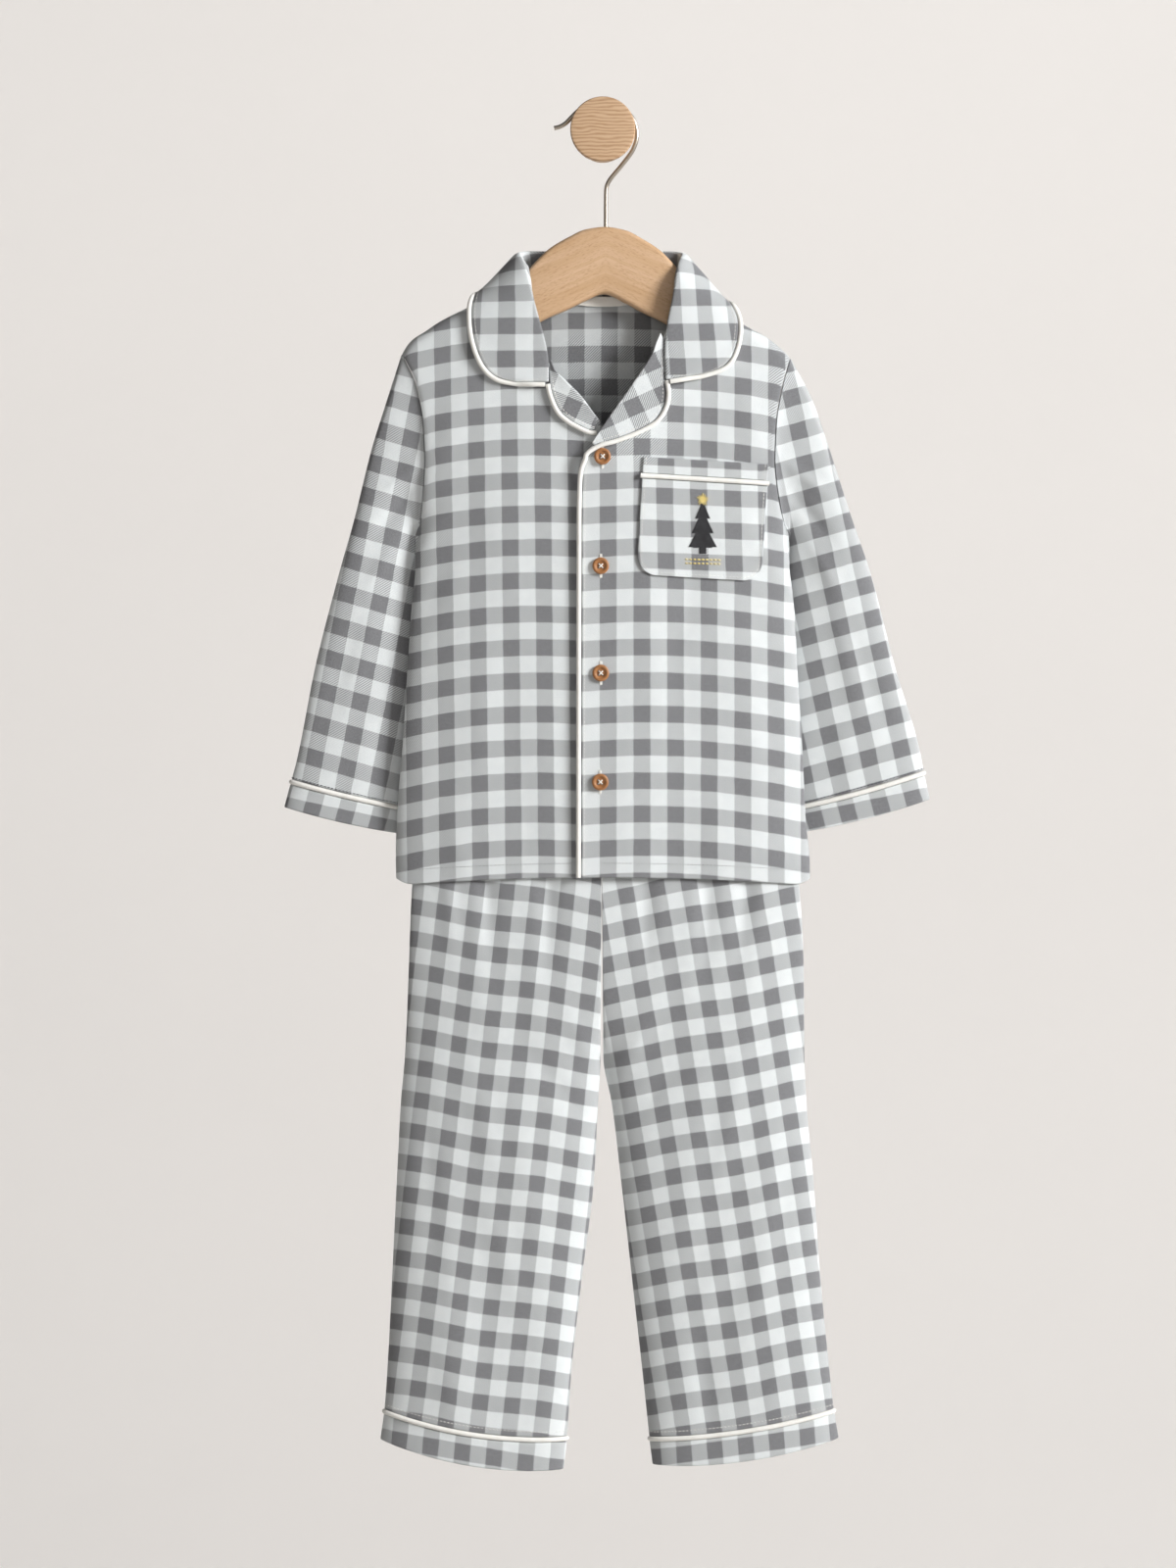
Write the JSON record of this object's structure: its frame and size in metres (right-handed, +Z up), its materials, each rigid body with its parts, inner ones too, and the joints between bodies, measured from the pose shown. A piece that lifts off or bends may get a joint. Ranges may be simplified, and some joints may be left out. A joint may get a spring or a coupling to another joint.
{
  "type": "pyjama set on a hanger and wall peg",
  "caption": "Child's button-through pyjama shirt and matching straight trousers in checked flannel with piped edges, on a small wooden hanger that hooks over a turned wall peg.",
  "frame": {"origin": "middle of the peg's flat back, on the wall", "axes": "+Y into the wall, +Z up, so the set faces -Y and the wearer's left is at +X"},
  "size_m": [0.4956, 0.0544, 1.0494],
  "materials": {
    "flannel": "brushed, matt",
    "tape": "woven, matt",
    "piping": "plain weave, matt",
    "button": "polished",
    "beech": "satin lacquer",
    "wire": "satin",
    "pine": "oiled"
  },
  "bodies": {
    "root": {"jacket_back": "flannel", "jacket_front_left": "flannel", "jacket_front_right": "flannel", "sleeve_left": "flannel", "sleeve_right": "flannel", "cuff_left": "flannel", "cuff_right": "flannel", "collar": "flannel", "lapel_left": "flannel", "lapel_right": "flannel", "pocket_bag": "flannel", "pocket_band": "flannel", "trouser_front_left": "flannel", "trouser_front_right": "flannel", "trouser_back_left": "flannel", "trouser_back_right": "flannel", "waistband": "flannel", "hem_band_left": "flannel", "hem_band_right": "flannel", "neck_tape": "tape", "collar_piping": "piping", "front_piping": "piping", "lapel_piping_right": "piping", "pocket_piping": "piping", "cuff_piping_left": "piping", "cuff_piping_right": "piping", "hem_piping_left": "piping", "hem_piping_right": "piping", "button_1": "button", "button_2": "button", "button_3": "button", "button_4": "button", "hanger": "beech", "hook": "wire", "wall_peg": "pine"}
  },
  "joints": []
}
